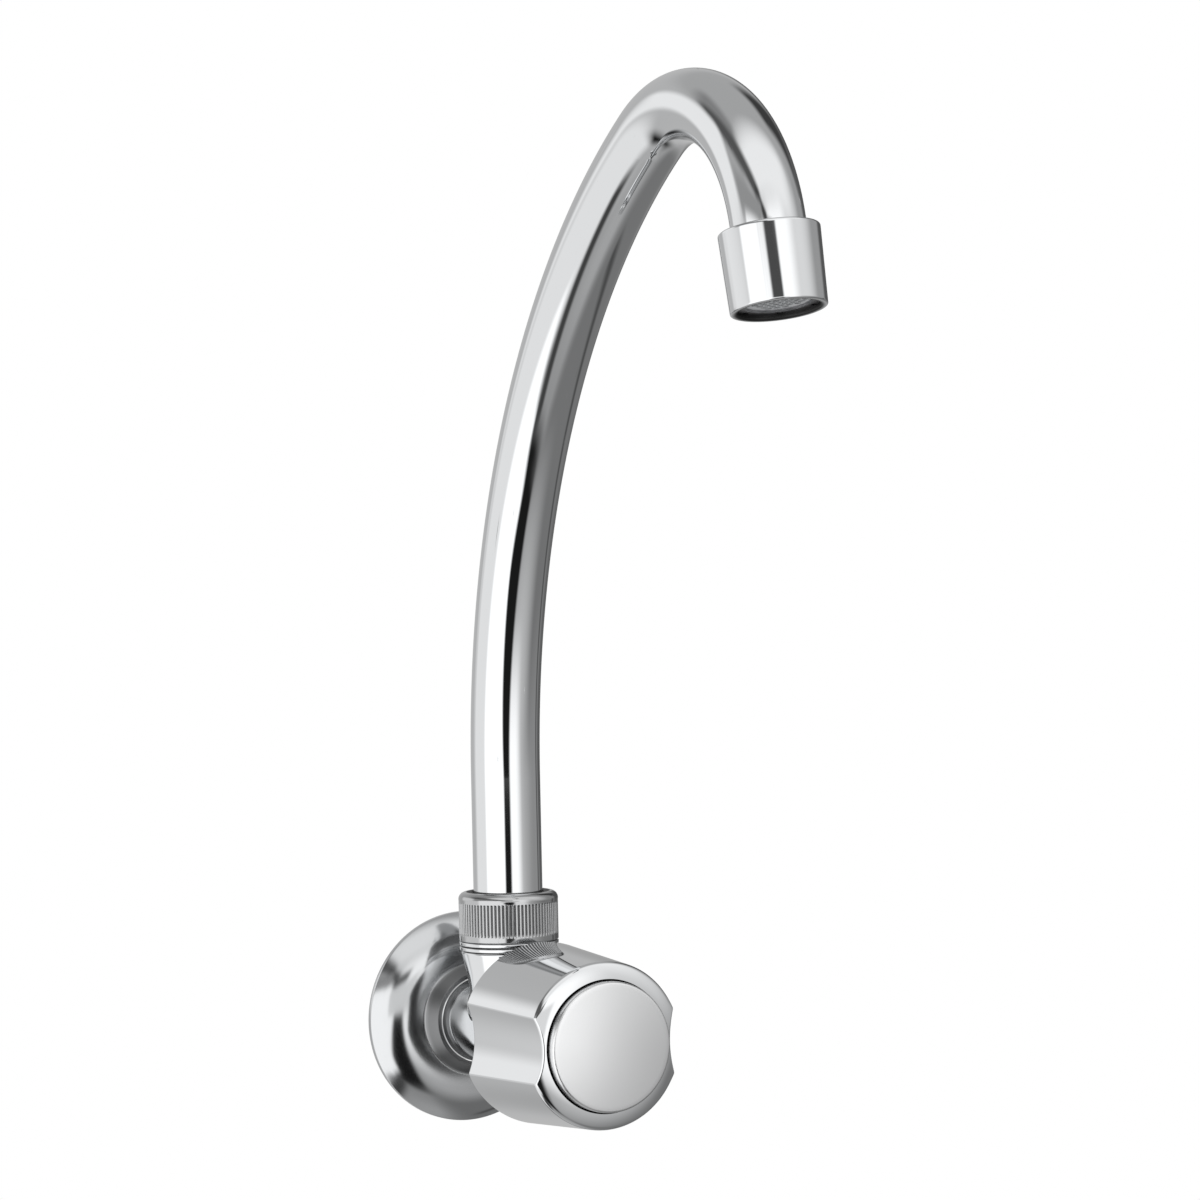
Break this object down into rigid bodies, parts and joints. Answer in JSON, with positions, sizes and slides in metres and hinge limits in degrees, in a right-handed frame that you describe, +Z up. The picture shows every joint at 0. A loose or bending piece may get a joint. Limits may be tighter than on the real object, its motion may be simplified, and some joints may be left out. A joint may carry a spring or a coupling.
{
  "type": "utility sink faucet",
  "caption": "Wall-mounted single tap with a high swan-neck swivel spout, knurled union nut, round scalloped knob and domed wall flange, in chrome.",
  "frame": {"origin": "where the inlet line meets the wall, in the plane of the flange's back rim", "axes": "+Y along the inlet thread into the wall, -Y out towards the user, +Z up along the spout's swivel line"},
  "size_m": [0.0618, 0.2317, 0.2988],
  "materials": {
    "chrome_plate": "mirror-bright chrome plate on brass and zinc",
    "brass": "turned brass, unplated",
    "stainless_steel": "plain bright stainless steel",
    "black_rubber": "moulded nitrile rubber",
    "white_acetal": "white acetal",
    "alumina": "lapped alumina",
    "grey_plastic": "moulded acetal, pale grey",
    "fibre": "vulcanised red fibre"
  },
  "bodies": {
    "root": {"wall_flange": "chrome_plate", "valve_body": "chrome_plate", "swivel_nut": "chrome_plate", "cartridge_housing": "brass", "cartridge_gasket": "fibre", "seat_seal": "black_rubber", "fixed_disc": "alumina", "thrust_washer": "white_acetal", "lower_slip_washer": "white_acetal", "upper_slip_washer": "white_acetal"},
    "handle": {"moving_disc": "alumina", "spindle": "brass", "spindle_orings": "black_rubber", "stop_ring": "white_acetal", "spindle_clip": "stainless_steel", "knob_shell": "chrome_plate", "knob_insert": "brass", "handle_screw": "stainless_steel", "screw_washer": "stainless_steel", "index_cap": "chrome_plate"},
    "spout": {"spout_tube": "chrome_plate", "spout_collar": "brass", "spout_orings": "black_rubber", "outlet_nozzle": "chrome_plate", "aerator_washer": "black_rubber", "aerator_housing": "chrome_plate", "aerator_core": "grey_plastic", "aerator_screens": "stainless_steel", "outlet_grid": "grey_plastic"}
  },
  "joints": [
    {"name": "handle_turn", "type": "hinge", "parent": "root", "child": "handle", "pos_m": [0, -0.07, 0], "axis": [0, -1, 0], "range_deg": [0, 90]},
    {"name": "spout_swivel", "type": "hinge", "parent": "root", "child": "spout", "pos_m": [0, -0.0322, 0.03], "axis": [0, 0, 1], "range_deg": [-95, 95]}
  ]
}
